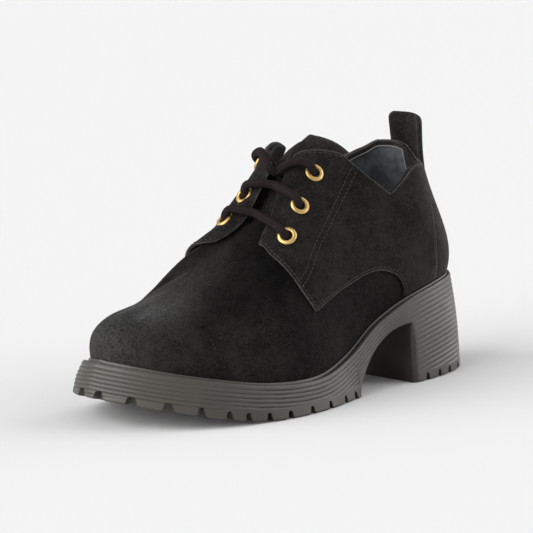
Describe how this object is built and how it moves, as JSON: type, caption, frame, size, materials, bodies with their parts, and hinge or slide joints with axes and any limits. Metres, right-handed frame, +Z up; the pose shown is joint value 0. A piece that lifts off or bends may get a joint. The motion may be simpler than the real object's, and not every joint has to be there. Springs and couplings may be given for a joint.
{
  "type": "derby shoe",
  "caption": "Left suede derby shoe with a hollow upper, open lacing through brass eyelets, a back pull tab and a ribbed lug sole with a block heel.",
  "frame": {"origin": "middle of the shoe's bounding box on the floor", "axes": "+X to the toe, +Y to the outer (lateral) side of this left shoe, +Z up"},
  "size_m": [0.2652, 0.1056, 0.1438],
  "materials": {
    "suede": "napped suede, matte",
    "lining": "smooth lining, satin",
    "rubber": "moulded rubber, satin",
    "brass": "polished",
    "lace": "braided cord, matte"
  },
  "bodies": {
    "root": {"upper": "suede", "tongue": "suede", "pull_tab": "suede", "insole": "lining", "sole_unit": "rubber", "quarter_lateral": "suede", "quarter_medial": "suede", "backstay": "suede", "eyelet_lateral_1": "brass", "eyelet_lateral_2": "brass", "eyelet_lateral_3": "brass", "eyelet_medial_1": "brass", "eyelet_medial_2": "brass", "eyelet_medial_3": "brass", "lace_bar_1": "lace", "lace_bar_2": "lace", "lace_bar_3": "lace"}
  },
  "joints": []
}
